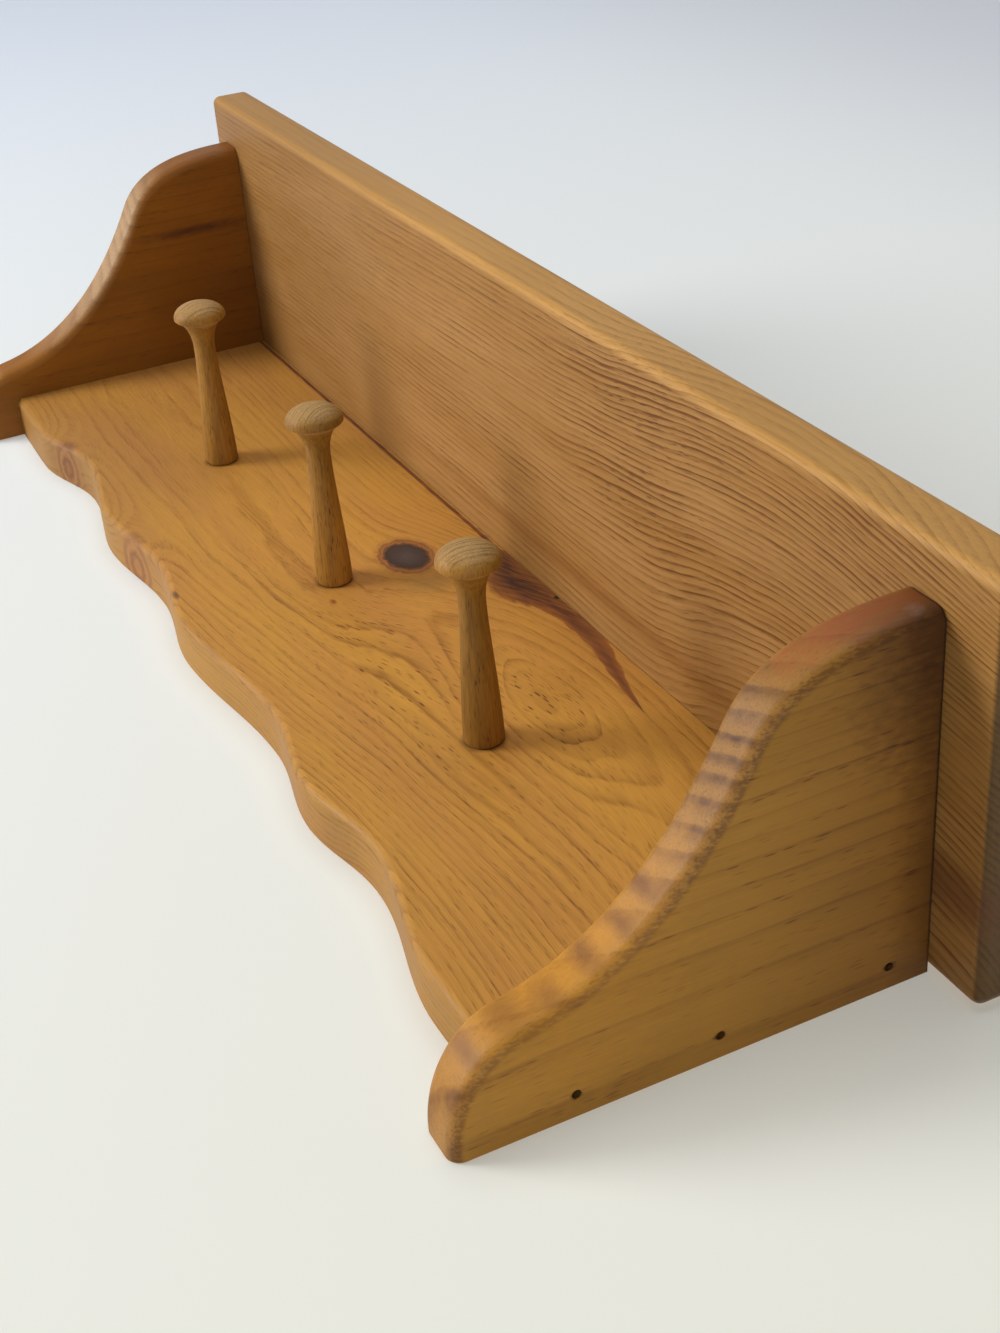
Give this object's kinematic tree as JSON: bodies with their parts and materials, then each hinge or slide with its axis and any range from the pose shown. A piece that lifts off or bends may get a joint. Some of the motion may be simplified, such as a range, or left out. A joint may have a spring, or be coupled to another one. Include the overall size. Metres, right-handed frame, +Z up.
{
  "type": "wall shelf",
  "caption": "Pine wall shelf: a board on two S-curved brackets and a back board with a wavy lower edge, turned pegs under the board to hang things from.",
  "frame": {"origin": "on the wall plane (the back board's rear face), halfway along the back board, level with the seats of the two keyhole slots", "axes": "+X along the shelf, to the right when facing the wall; +Y into the wall; +Z up"},
  "size_m": [0.6195, 0.14, 0.1754],
  "materials": {
    "shelf_pine": "aged varnished pine, satin",
    "back_pine": "aged varnished pine, satin, with knots",
    "bracket_pine": "aged varnished pine, satin",
    "peg_birch": "turned hardwood, worn varnish",
    "nail_steel": "dull, lightly rusted wire nails"
  },
  "bodies": {
    "root": {"shelf_board": "shelf_pine", "back_board": "back_pine", "end_bracket_left": "bracket_pine", "end_bracket_right": "bracket_pine", "peg_left": "peg_birch", "peg_middle": "peg_birch", "peg_right": "peg_birch", "brad_left_top": "nail_steel", "brad_left_middle": "nail_steel", "brad_left_bottom": "nail_steel", "brad_right_top": "nail_steel", "brad_right_middle": "nail_steel", "brad_right_bottom": "nail_steel", "nail_left_rear": "nail_steel", "nail_left_front": "nail_steel", "nail_right_rear": "nail_steel", "nail_right_front": "nail_steel", "nail_back_left": "nail_steel", "nail_back_middle": "nail_steel", "nail_back_right": "nail_steel"}
  },
  "joints": []
}
